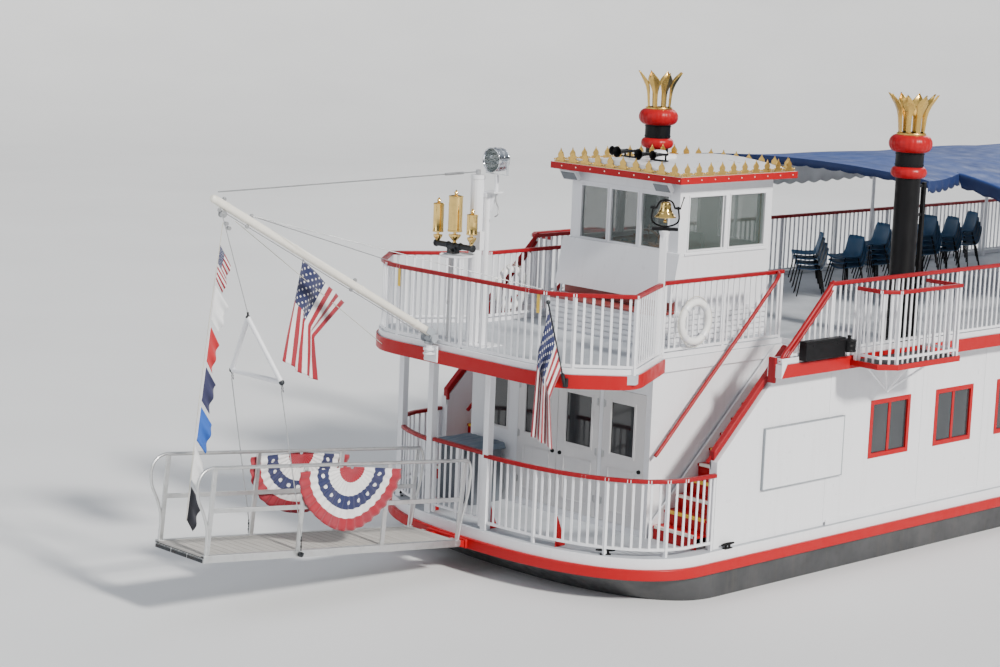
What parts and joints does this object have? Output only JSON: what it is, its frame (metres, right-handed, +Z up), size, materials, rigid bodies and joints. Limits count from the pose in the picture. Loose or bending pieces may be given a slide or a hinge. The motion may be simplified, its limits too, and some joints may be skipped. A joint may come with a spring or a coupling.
{
  "type": "paddle boat",
  "caption": "Small two-deck sternwheel paddle boat with pilothouse, twin stacks, canopy and a landing stage hung from a boom.",
  "frame": {"origin": "on the flat bottom of the hull, on the centreline, amidships", "axes": "+X to the bow, +Y to port, +Z up; the boat floats with the waterline at z = 0.60 m"},
  "size_m": [26.397, 7.3742, 7.4094],
  "materials": {
    "white_paint": "satin",
    "red_paint": "satin",
    "black_paint": "gloss",
    "grey_paint": "matte",
    "cream_paint": "satin",
    "gold_paint": "gloss",
    "brass": "polished",
    "aluminium": "satin",
    "steel": "satin",
    "chrome": "polished",
    "cloth": "matte",
    "canopy_cloth": "matte",
    "rubber_ring": "matte"
  },
  "bodies": {
    "boat": {"hull": "white_paint", "main_guard": "red_paint", "main_rail_port": "white_paint", "main_rail_starboard": "white_paint", "foredeck_locker": "grey_paint", "deckhouse_front": "white_paint", "deckhouse_port": "white_paint", "deckhouse_starboard": "white_paint", "deckhouse_aft": "white_paint", "stair_port": "white_paint", "stair_starboard": "white_paint", "upper_deck": "grey_paint", "upper_fascia": "red_paint", "wing_port": "white_paint", "wing_starboard": "white_paint", "foredeck_rail": "white_paint", "bell_stand": "black_paint", "aft_deck_rail": "white_paint", "pilothouse_base": "white_paint", "pilothouse_front": "white_paint", "pilothouse_port": "white_paint", "pilothouse_starboard": "white_paint", "pilothouse_aft": "white_paint", "pilothouse_roof": "white_paint", "roof_cresting": "gold_paint", "roof_horns": "black_paint", "stack_port": "black_paint", "stack_starboard": "black_paint", "stack_crown_port": "gold_paint", "stack_crown_starboard": "gold_paint", "canopy_frame": "white_paint", "canopy_top": "canopy_cloth", "mast": "white_paint", "whistles": "brass", "life_ring_port": "rubber_ring", "life_ring_starboard": "rubber_ring", "equipment_box": "black_paint", "boom_step": "white_paint", "wheel_beam_port": "white_paint", "wheel_beam_starboard": "white_paint"},
    "bow_gate_leaf": {"bow_gate": "white_paint"},
    "front_leaf_starboard": {"front_door_starboard": "white_paint"},
    "front_leaf_port": {"front_door_port": "white_paint"},
    "front_leaf_port_outer": {"front_door_port_outer": "white_paint"},
    "aft_leaf": {"aft_door": "white_paint"},
    "pilothouse_leaf": {"pilothouse_door": "white_paint"},
    "helm": {"helm_wheel": "brass"},
    "searchlight_head": {"searchlight": "chrome"},
    "bell_body": {"bell": "brass"},
    "boom_spar": {"boom": "cream_paint", "boom_flag": "cloth"},
    "lift_wire": {"topping_lift": "steel"},
    "stage": {"landing_stage": "aluminium", "hoist_spreader": "white_paint", "bunting_port": "cloth", "bunting_starboard": "cloth"},
    "wheel": {"paddle_wheel": "red_paint"},
    "rudder_blade_port": {"rudder_port": "red_paint"},
    "rudder_blade_starboard": {"rudder_starboard": "red_paint"}
  },
  "joints": [
    {"name": "paddle_wheel_turn", "type": "hinge", "parent": "boat", "child": "wheel", "pos_m": [-11.1, 0, 1.76], "axis": [0, 1, 0], "continuous": true},
    {"name": "rudder_port_turn", "type": "hinge", "parent": "boat", "child": "rudder_blade_port", "pos_m": [-9.17, 1, 0.8], "axis": [0, 0, 1], "range_deg": [-35, 35]},
    {"name": "rudder_starboard_turn", "type": "hinge", "parent": "boat", "child": "rudder_blade_starboard", "pos_m": [-9.17, -1, 0.8], "axis": [0, 0, 1], "range_deg": [-35, 35]},
    {"name": "helm_turn", "type": "hinge", "parent": "boat", "child": "helm", "pos_m": [5.705, 0, 5.02], "axis": [1, 0, 0], "range_deg": [-420, 420]},
    {"name": "front_door_starboard_swing", "type": "hinge", "parent": "boat", "child": "front_leaf_starboard", "pos_m": [7.442, -0.812, 2.3], "axis": [0, 0, -1], "range_deg": [0, 90]},
    {"name": "front_door_port_swing", "type": "hinge", "parent": "boat", "child": "front_leaf_port", "pos_m": [7.442, 0.812, 2.3], "axis": [0, 0, 1], "range_deg": [0, 90]},
    {"name": "front_door_port_outer_swing", "type": "hinge", "parent": "boat", "child": "front_leaf_port_outer", "pos_m": [7.442, 0.888, 2.3], "axis": [0, 0, -1], "range_deg": [0, 90]},
    {"name": "aft_door_swing", "type": "hinge", "parent": "boat", "child": "aft_leaf", "pos_m": [-7.452, 0.417, 2.3], "axis": [0, 0, -1], "range_deg": [0, 90]},
    {"name": "pilothouse_door_swing", "type": "hinge", "parent": "boat", "child": "pilothouse_leaf", "pos_m": [4.208, -0.877, 5], "axis": [0, 0, 1], "range_deg": [0, 90]},
    {"name": "bow_gate_swing", "type": "hinge", "parent": "boat", "child": "bow_gate_leaf", "pos_m": [8.9346, 0.03, 1.8], "axis": [0, 0, -1], "range_deg": [0, 90]},
    {"name": "searchlight_pan", "type": "hinge", "parent": "boat", "child": "searchlight_head", "pos_m": [8.59, -0.265, 6.38], "axis": [0, 0, 1], "range_deg": [-170, 170]},
    {"name": "bell_swing", "type": "hinge", "parent": "boat", "child": "bell_body", "pos_m": [7.4, 1.832, 5.877], "axis": [-0.7071, 0.7071, 0], "range_deg": [-30, 30]},
    {"name": "boom_slew", "type": "hinge", "parent": "boat", "child": "boom_spar", "pos_m": [9.56, -0.475, 4], "axis": [0, 0, 1], "range_deg": [-20, 20]},
    {"name": "topping_lift_swing", "type": "hinge", "parent": "boat", "child": "lift_wire", "pos_m": [8.75, -0.475, 6.2], "axis": [0, 0, 1], "range_deg": [-17, 17]},
    {"name": "stage_hinge", "type": "hinge", "parent": "boat", "child": "stage", "pos_m": [9.26, -0.475, 1.075], "axis": [0, -1, 0], "range_deg": [-15, 5]}
  ],
  "couplings": [
    {"joint": "rudder_starboard_turn", "follows": "rudder_port_turn", "ratio": 1},
    {"joint": "helm_turn", "follows": "rudder_port_turn", "ratio": 12},
    {"joint": "topping_lift_swing", "follows": "boom_slew", "ratio": 0.8216}
  ]
}
